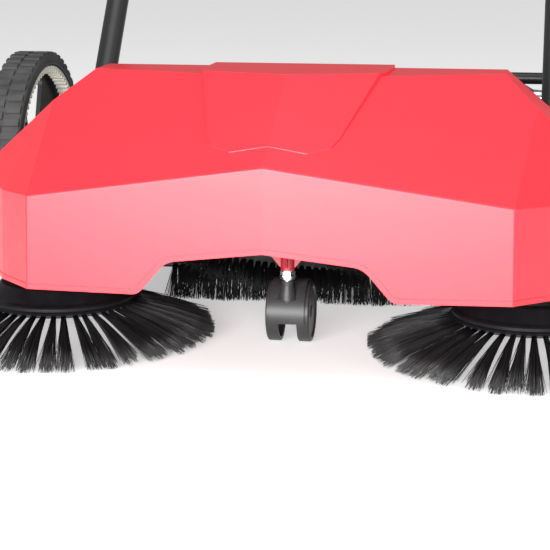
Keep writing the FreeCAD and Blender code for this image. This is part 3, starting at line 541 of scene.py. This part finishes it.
@dataclass
class BristleField:
    """Tufts of filaments set round an axis, in rows that may twist along it.

    The filaments are worked out in the axis's own terms: distance from it, angle round it, height along it.
    """
    axis: Axis
    rows: int
    tufts: int
    filaments: int
    start: float
    length: float
    twist: float
    root_radius: float
    tip_radius: float
    drop: float
    droop: float
    root_half: float
    fan_angle: float
    fan_height: float
    ragged: float
    thickness: float
    segments: int
    seed: int
    lowest: float = -1.0

    def pattern(self, name: str, material: bpy.types.Material) -> Pattern:
        """Builds the tree.

        Args:
            name: the tree's name.
            material: the filaments' material.

        Returns:
            The pattern, ready to run.
        """
        real, whole = "NodeSocketFloat", "NodeSocketInt"
        p = Pattern(name, {
            "Rows": (whole, self.rows), "Tufts": (whole, self.tufts), "Filaments": (whole, self.filaments),
            "Start": (real, self.start), "Length": (real, self.length), "Twist": (real, self.twist),
            "Root Radius": (real, self.root_radius), "Tip Radius": (real, self.tip_radius),
            "Drop": (real, self.drop), "Droop": (real, self.droop), "Root Half": (real, self.root_half),
            "Fan Angle": (real, self.fan_angle), "Fan Height": (real, self.fan_height),
            "Ragged": (real, self.ragged), "Thickness": (real, self.thickness),
            "Segments": (whole, self.segments), "Lowest": (real, self.lowest), "Seed": (whole, self.seed),
            "Material": ("NodeSocketMaterial", material)})
        count = p.given("Rows") * p.given("Tufts") * p.given("Filaments")
        points = p.term("GeometryNodeMeshLine", None, {"Count": count})
        points = self._scatter(p, points)
        filament = self._filament(p)
        placed = p.term("GeometryNodeInstanceOnPoints", None, {"Points": points, "Instance": filament})
        real_mesh = p.term("GeometryNodeRealizeInstances", None, {"Geometry": placed})
        p.close(self._shape(p, real_mesh))
        return p

    def _scatter(self, p: Pattern, points: Term) -> Term:
        """Stores each filament's root, middle and tip on its point."""
        index = p.term("GeometryNodeInputIndex")
        tuft = (index / p.given("Filaments")).floor()
        row = (tuft / p.given("Tufts")).floor()
        share = ((tuft % p.given("Tufts")) + 0.5) / p.given("Tufts")
        sway = p.chance(-1.0, 1.0, 11, tuft)
        lift = p.chance(-1.0, 1.0, 12, tuft)
        angle = row * TURN / p.given("Rows") + p.given("Twist") * share + sway * p.given("Fan Angle") * 0.18
        height = p.given("Start") + p.given("Length") * share
        spoke = p.chance(0.0, TURN, 1)
        spread = p.chance(0.0, 1.0, 2) ** 0.5
        round_it = p.math("COSINE", spoke) * spread
        up_it = p.math("SINE", spoke) * spread
        root_angle = angle + round_it * p.given("Root Half") / p.given("Root Radius")
        root_height = height + up_it * p.given("Root Half")
        stray = p.chance(-1.0, 1.0, 3) ** 3.0
        tip_angle = angle + (round_it + stray * 0.55 + sway * 0.4) * p.given("Fan Angle")
        scatter = up_it + p.chance(-0.5, 0.5, 4) + lift * 0.6
        tip_height = root_height + p.given("Drop") + scatter * p.given("Fan Height")
        short = p.chance(0.0, 1.0, 5) ** 2.0
        reach = p.given("Tip Radius") - p.given("Ragged") * (short + p.chance(0.0, 0.35, 6, tuft))
        mid_height = (root_height + tip_height) * 0.5 + p.given("Droop") * p.chance(0.6, 1.4, 7)
        mid_radius = (p.given("Root Radius") + reach) * 0.5
        mid_angle = (root_angle + tip_angle) * 0.5 + p.chance(-0.12, 0.12, 8) * p.given("Fan Angle")
        root = p.combine(p.given("Root Radius"), root_angle, root_height)
        points = p.keep(points, "root", "FLOAT_VECTOR", root)
        points = p.keep(points, "middle", "FLOAT_VECTOR", p.combine(mid_radius, mid_angle, mid_height))
        points = p.keep(points, "tip", "FLOAT_VECTOR", p.combine(reach, tip_angle, tip_height))
        return p.keep(points, "shade", "FLOAT", p.chance(0.0, 1.0, 9) * 0.7 + p.chance(0.0, 0.3, 10, tuft))

    @staticmethod
    def _filament(p: Pattern) -> Term:
        """One three-sided filament, which keeps its own coordinates as an attribute."""
        cone = p.term("GeometryNodeMeshCone", {"fill_type": "NGON"}, {
            "Vertices": 3, "Side Segments": p.given("Segments"), "Fill Segments": 1, "Radius Top": 0.62,
            "Radius Bottom": 1.0, "Depth": 1.0})
        return p.keep(cone, "unit", "FLOAT_VECTOR", p.term("GeometryNodeInputPosition"))

    def _shape(self, p: Pattern, mesh: Term) -> Term:
        """Bends each filament from root through middle to tip, and turns the result to the axis."""
        across, through, along = p.separate(p.kept("unit", "FLOAT_VECTOR"))
        along = along.clamped()
        before = 1.0 - along
        weights = (before * before, along * before * 2.0, along * along)
        ends = [p.separate(p.kept(name, "FLOAT_VECTOR")) for name in ("root", "middle", "tip")]
        radius, angle, height = (
            ends[0][i] * weights[0] + ends[1][i] * weights[1] + ends[2][i] * weights[2] for i in range(3))
        angle = angle + across * p.given("Thickness") / radius
        height = p.math("MAXIMUM", height + through * p.given("Thickness"), p.given("Lowest"))
        flat_x, flat_y = radius * p.math("COSINE", angle), radius * p.math("SINE", angle)
        if self.axis is Axis.ACROSS:
            place = p.combine(height, flat_x, flat_y)
        else:
            place = p.combine(flat_x, flat_y, height)
        mesh = p.term("GeometryNodeSetPosition", None, {"Geometry": mesh, "Position": place})
        mesh = p.keep(mesh, "along", "FLOAT", along)
        for name in ("root", "middle", "tip", "unit"):
            mesh = p.term("GeometryNodeRemoveAttribute", None, {"Geometry": mesh, "Name": name})
        return p.term("GeometryNodeSetShadeSmooth", None, {"Geometry": mesh, "Shade Smooth": True})


@dataclass
class RingOf:
    """Many copies of one small block in a ring about an axis that runs across the machine."""
    count: int
    radius: float
    size: Point
    along: float
    turn: float = 0.0

    def pattern(self, name: str, material: bpy.types.Material) -> Pattern:
        """Builds the tree. A block's size is given round the axis, out from it and along it.

        Args:
            name: the tree's name.
            material: the blocks' material.

        Returns:
            The pattern, ready to run.
        """
        real, whole = "NodeSocketFloat", "NodeSocketInt"
        p = Pattern(name, {
            "Count": (whole, self.count), "Radius": (real, self.radius), "Along": (real, self.along),
            "Width": (real, self.size[0]), "Height": (real, self.size[1]), "Length": (real, self.size[2]),
            "Turn": (real, self.turn), "Material": ("NodeSocketMaterial", material)})
        line = p.term("GeometryNodeMeshLine", None, {"Count": p.given("Count")})
        index = p.term("GeometryNodeInputIndex")
        angle = index * TURN / p.given("Count") + p.given("Turn")
        flat_x = p.given("Radius") * p.math("COSINE", angle)
        flat_y = p.given("Radius") * p.math("SINE", angle)
        place = p.combine(p.given("Along"), flat_x, flat_y)
        turned = p.combine(angle, 0.0, 0.0)
        size = p.combine(p.given("Length"), p.given("Height"), p.given("Width"))
        line = p.term("GeometryNodeSetPosition", None, {"Geometry": line, "Position": place})
        block = p.term("GeometryNodeMeshCube", None, {"Size": size})
        placed = p.term("GeometryNodeInstanceOnPoints", None,
                        {"Points": line, "Instance": block, "Rotation": turned})
        p.close(placed)
        return p


# ---- sub-assemblies ------------------------------------------------------------------------------
class Assembly:
    """Shared ways of finishing a sub-assembly's pieces."""

    def __init__(self, paint: Paintbox) -> None:
        """Keeps the paintbox."""
        self.paint = paint

    def fit(self, piece: bpy.types.Object, body: str, slot: str, *stands_for: str) -> bpy.types.Object:
        """Makes a finished piece ride on its body.

        Args:
            piece: the object, with its place in its mesh.
            body: the CAD body it moves with.
            slot: not used.
            stands_for: CAD nodes that it replaces.

        Returns:
            The piece.
        """
        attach(piece, body)
        if stands_for:
            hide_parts(*stands_for)
        LOG.info("piece %s rides on %s, %d faces", piece.name, body, len(piece.data.polygons))
        return piece


@dataclass
class SideBrushSizes:
    """Sizes of a side brush, about its own upright axis."""
    tufts: int = 46
    filaments: int = 150
    root_radius: float = 0.0825
    root_height: float = 0.0385
    tip_radius: float = 0.1795
    tip_height: float = 0.006
    droop: float = 0.004
    root_half: float = 0.0025
    fan_angle: float = 0.056
    fan_height: float = 0.0046
    ragged: float = 0.015
    thickness: float = 0.00044
    segments: int = 4
    seed: int = 3
    lowest: float = 0.0009


class SideBrushes(Assembly):
    """The two ring brushes that turn on upright spindles beside the caster."""

    def build(self, sizes: SideBrushSizes) -> None:
        """Builds both brushes' filaments and dresses their discs and spindles.

        Args:
            sizes: the brushes' sizes.
        """
        for name, side in SIDES:
            centre = middle("brush_disc_" + name)
            centre.z = 0.0
            field = BristleField(
                axis=Axis.UPRIGHT, rows=sizes.tufts, tufts=1, filaments=sizes.filaments,
                start=sizes.root_height, length=0.0, twist=0.0,
                root_radius=sizes.root_radius, tip_radius=sizes.tip_radius,
                drop=sizes.tip_height - sizes.root_height, droop=sizes.droop, root_half=sizes.root_half,
                fan_angle=sizes.fan_angle, fan_height=sizes.fan_height, ragged=sizes.ragged,
                thickness=sizes.thickness, segments=sizes.segments, seed=sizes.seed + side,
                lowest=sizes.lowest)
            pattern = field.pattern("side_bristle_field_" + name, self.paint.material(BRISTLE))
            piece = pattern.run("side_bristle_tufts_" + name)
            piece.data.transform(Matrix.Translation(centre))
            self.fit(piece, "side_brush_" + name, "bristle", "side_bristles_" + name)
            self.paint.dress_nodes(DISC_GREY, "brush_disc_" + name)
            self.paint.dress_nodes(ROD_ZINC, "brush_spindle_" + name, "cross_shaft_" + name)
            self.paint.dress_nodes(NATURAL_NYLON, "bevel_gear_" + name, "bevel_pinion_" + name,
                                   "cross_pulley_" + name)


@dataclass
class RollerSizes:
    """Sizes of the roller's bristle rows, about its own axis."""
    rows: int = 6
    tufts: int = 40
    filaments: int = 46
    end_gap: float = 0.002
    twist: float = 1.9
    root_radius: float = 0.0255
    tip_gap: float = 0.0005
    root_half: float = 0.0028
    fan_angle: float = 0.11
    fan_height: float = 0.0065
    ragged: float = 0.006
    thickness: float = 0.00048
    segments: int = 2
    seed: int = 8


class Roller(Assembly):
    """The cross roller that throws the dirt back into the hopper."""

    def build(self, sizes: RollerSizes) -> None:
        """Builds the roller's filaments and dresses its core and shaft.

        Args:
            sizes: the bristle rows' sizes.
        """
        low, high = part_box("roller_bristles")
        centre = (Vector(low) + Vector(high)) / 2
        half = (high[0] - low[0]) / 2
        field = BristleField(
            axis=Axis.ACROSS, rows=sizes.rows, tufts=sizes.tufts, filaments=sizes.filaments,
            start=-half + sizes.end_gap, length=2 * half - 2 * sizes.end_gap, twist=sizes.twist,
            root_radius=sizes.root_radius, tip_radius=(high[2] - low[2]) / 2 - sizes.tip_gap,
            drop=0.0, droop=0.0, root_half=sizes.root_half, fan_angle=sizes.fan_angle,
            fan_height=sizes.fan_height, ragged=sizes.ragged, thickness=sizes.thickness,
            segments=sizes.segments, seed=sizes.seed)
        pattern = field.pattern("roller_bristle_field", self.paint.material(ROLLER_BRISTLE))
        piece = pattern.run("roller_bristle_rows")
        piece.data.transform(Matrix.Translation(centre))
        self.fit(piece, "roller", "bristle", "roller_bristles")
        self.paint.dress_nodes(BLACK_SHELL, "roller_core", "roller_housing")
        self.paint.dress_nodes(ROD_ZINC, "roller_shaft", "roller_bearings")
        self.paint.dress_nodes(NATURAL_NYLON, "roller_pulleys")
        self.paint.dress_nodes(BELT_RUBBER, "drive_belt_left", "drive_belt_right")


@dataclass
class TyreSizes:
    """Sizes of a tyre, about the wheel's axis."""
    bead_radius: float = 0.1362
    wall_radius: float = 0.1432
    crown_radius: float = 0.1464
    half_width: float = 0.0223
    shoulder: float = 0.0016
    sides: int = 144
    lugs: int = 54
    lug: Point = (0.0092, 0.0046, 0.0190)
    lug_radius: float = 0.1472
    lug_offset: float = 0.0108


class Wheels(Assembly):
    """The two driving wheels, their tyres and the gears inside them."""

    def build(self, sizes: TyreSizes) -> None:
        """Builds both tyres and dresses the wheels.

        Args:
            sizes: the tyres' sizes.
        """
        for name, _ in SIDES:
            self._tyre(name, sizes)
            self.paint.dress_nodes(BLACK_SHELL, "wheel_rim_" + name, "hub_cap_" + name)
            self.paint.dress_nodes(NATURAL_NYLON, "ring_gear_" + name, "wheel_bush_" + name,
                                   "drive_pinion_" + name)
        self.paint.dress_nodes(ROD_ZINC, "wheel_axle")

    def _tyre(self, name: str, sizes: TyreSizes) -> None:
        """Builds a tyre's carcass and its two staggered rows of lugs."""
        centre, half = middle("tyre_" + name), sizes.half_width
        shoulder = sizes.wall_radius + sizes.shoulder
        profile = [(-half, sizes.bead_radius), (-half, sizes.wall_radius), (-half * 0.97, shoulder),
                   (-half * 0.88, sizes.crown_radius), (half * 0.88, sizes.crown_radius),
                   (half * 0.97, shoulder), (half, sizes.wall_radius), (half, sizes.bead_radius)]
        carcass = object_from("tyre_carcass_" + name, lathe(profile, centre, sizes.sides))
        sharpen(carcass)
        self.paint.dress(carcass, TYRE_RUBBER)
        self.fit(carcass, "wheel_" + name, "tyre", "tyre_" + name)
        for row, side in enumerate((-1, 1)):
            ring = RingOf(sizes.lugs, sizes.lug_radius, sizes.lug, side * sizes.lug_offset,
                          row * TURN / (2 * sizes.lugs))
            label = "%s_%s" % (name, "outer" if row else "inner")
            pattern = ring.pattern("tyre_lug_ring_" + label, self.paint.material(TYRE_RUBBER))
            lugs = pattern.run("tyre_lugs_" + label)
            lugs.data.transform(Matrix.Translation(centre))
            self.fit(lugs, "wheel_" + name, "tyre")


class Caster(Assembly):
    """The twin-wheel caster under the hood's arch."""

    def build(self) -> None:
        """Dresses the caster."""
        self.paint.dress_nodes(CASTER_GREY, "caster_housing", "caster_wheel_left", "caster_wheel_right")
        self.paint.dress_nodes(ROD_ZINC, "caster_axle")
        self.paint.dress_nodes(SCREW_ZINC, "caster_stem", "caster_lock_nut")


class Body(Assembly):
    """The hood, the frame under it and the hopper behind."""

    def build(self) -> None:
        """Dresses the body."""
        self.paint.dress_nodes(HOOD_RED, "front_hood")
        self.paint.dress_nodes(FRAME_RED, "chassis_deck")
        self.paint.dress_nodes(BLACK_SHELL, "rear_cover", "hopper_bin", "spindle_housings", "drive_hangers")
        self.paint.dress_nodes(PLATE_ZINC, "side_plate_left", "side_plate_right", "hopper_rails")
        self.paint.dress_nodes(ROD_ZINC, "cross_bars")
        self.paint.dress_nodes(SCREW_ZINC, "frame_screws", "handle_pivot_bolts")
        self.paint.dress_nodes(BELT_RUBBER, "hopper_mouth_seal")
        self.paint.dress_nodes(TUBE_BLACK, "hopper_bail")


@dataclass
class GripSizes:
    """Sizes of the ribbed grip, about its own axis."""
    bore: float = 0.0112
    rib_radius: float = 0.0157
    groove_radius: float = 0.0147
    ribs: int = 46
    end: float = 0.006
    bevel: float = 0.002
    sides: int = 40


class Handle(Assembly):
    """The folding push handle."""

    def build(self, sizes: GripSizes) -> None:
        """Builds the grip and dresses the handle.

        Args:
            sizes: the grip's sizes.
        """
        self._grip(sizes)
        self.paint.dress_nodes(TUBE_BLACK, "handle_legs", "handle_upper_tube")
        self.paint.dress_nodes(BLACK_SHELL, "clamp_knob_left", "clamp_knob_right")

    def _grip(self, sizes: GripSizes) -> None:
        """Builds the grip as one turned piece with a rib every few millimetres."""
        low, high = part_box("handle_grip")
        half = (high[0] - low[0]) / 2
        pitch = 2 * (half - sizes.end) / sizes.ribs
        outline = [(-half, sizes.bore), (-half, sizes.groove_radius),
                   (-half + sizes.bevel, sizes.rib_radius)]
        for k in range(sizes.ribs):
            start = -half + sizes.end + k * pitch
            outline += [(start, sizes.rib_radius), (start + 0.2 * pitch, sizes.groove_radius),
                        (start + 0.4 * pitch, sizes.groove_radius), (start + 0.6 * pitch, sizes.rib_radius)]
        outline += [(half - sizes.bevel, sizes.rib_radius), (half, sizes.groove_radius), (half, sizes.bore)]
        grip = object_from("grip_sleeve", lathe(outline, middle("handle_grip"), sizes.sides))
        sharpen(grip)
        self.paint.dress(grip, GRIP_FOAM)
        self.fit(grip, "handle_upper", "grip", "handle_grip")


# ---- studio --------------------------------------------------------------------------------------
@dataclass(frozen=True)
class SoftLight:
    """A rectangular light: its place, its width and height, and its power in watts."""
    name: str
    place: Point
    size: Tuple[float, float]
    power: float


LIGHTS = (
    SoftLight("front_light", (-0.3, -3.2, 0.52), (2.6, 0.95), 235.0),
    SoftLight("top_light", (0.0, -0.6, 3.0), (2.4, 2.4), 34.0),
    SoftLight("right_light", (2.8, -1.2, 1.4), (1.6, 1.6), 42.0),
)


@dataclass
class Studio:
    """The pale floor, the soft lights and the camera."""
    azimuth: float = 9.42
    elevation: float = 12.24
    distance: float = 1.7047
    lens: float = 109.83
    target: Point = (0.0106, CORNER_LINE_Y, 0.1134)
    film_width: float = 36.0
    floor_half: float = 12.0
    floor_tones: Tuple[float, float] = (0.78, 0.81)
    floor_glow: float = 0.45
    surround: float = 0.30
    lights_aim: Point = (0.0, -0.3, 0.15)

    def build(self) -> None:
        """Builds the floor, the lights and the camera."""
        self._floor()
        self._lights()
        self._camera()

    def _floor(self) -> None:
        """A large pale plane."""
        bm = bmesh.new()
        bmesh.ops.create_grid(bm, x_segments=1, y_segments=1, size=self.floor_half)
        mesh = bpy.data.meshes.new("studio_floor")
        bm.to_mesh(mesh)
        bm.free()
        floor = object_from("studio_floor", mesh)
        s = Surface("studio_floor")
        dark, pale = ((level, level, level) for level in self.floor_tones)
        tone = s.blend(s.noise(3.0), dark, pale)
        mesh.materials.append(s.finish(Base_Color=tone, Roughness=0.75, Emission_Color=(1.0, 1.0, 1.0),
                                       Emission_Strength=self.floor_glow))

    def _light(self, light: SoftLight) -> None:
        """Adds one soft light, turned towards the machine."""
        data = bpy.data.lights.new(light.name, "AREA")
        data.shape, data.energy = "RECTANGLE", light.power
        data.size, data.size_y = light.size
        lamp = bpy.data.objects.new(light.name, data)
        lamp.location = light.place
        aim = Vector(self.lights_aim) - Vector(light.place)
        lamp.rotation_euler = aim.to_track_quat("-Z", "Y").to_euler()
        bpy.context.scene.collection.objects.link(lamp)

    def _lights(self) -> None:
        """A white surround, and a light in front, one above and one from the camera's right."""
        world = bpy.data.worlds.new("surround")
        world.use_nodes = True
        background = world.node_tree.nodes["Background"]
        background.inputs[0].default_value = (1.0, 1.0, 1.0, 1.0)
        background.inputs[1].default_value = self.surround
        bpy.context.scene.world = world
        for light in LIGHTS:
            self._light(light)

    def _camera(self) -> None:
        """The camera, looking at the hood's front from a little to its left and above."""
        turn, rise = math.radians(self.azimuth), math.radians(self.elevation)
        back = Vector((math.sin(turn) * math.cos(rise), -math.cos(turn) * math.cos(rise), math.sin(rise)))
        data = bpy.data.cameras.new("camera")
        data.lens, data.sensor_width = self.lens, self.film_width
        camera = bpy.data.objects.new("camera", data)
        camera.location = Vector(self.target) + back * self.distance
        camera.rotation_euler = (-back).to_track_quat("-Z", "Y").to_euler()
        bpy.context.scene.collection.objects.link(camera)
        bpy.context.scene.camera = camera


def main() -> None:
    """Builds the sweeper and its studio."""
    logging.basicConfig(level=logging.INFO, format="%(name)s: %(message)s")
    bpy.context.scene.view_settings.view_transform = "Standard"
    paint = Paintbox()
    Studio().build()
    Body(paint).build()
    SideBrushes(paint).build(SideBrushSizes())
    Roller(paint).build(RollerSizes())
    Wheels(paint).build(TyreSizes())
    Caster(paint).build()
    Handle(paint).build(GripSizes())


if __name__ == "__main__":
    main()
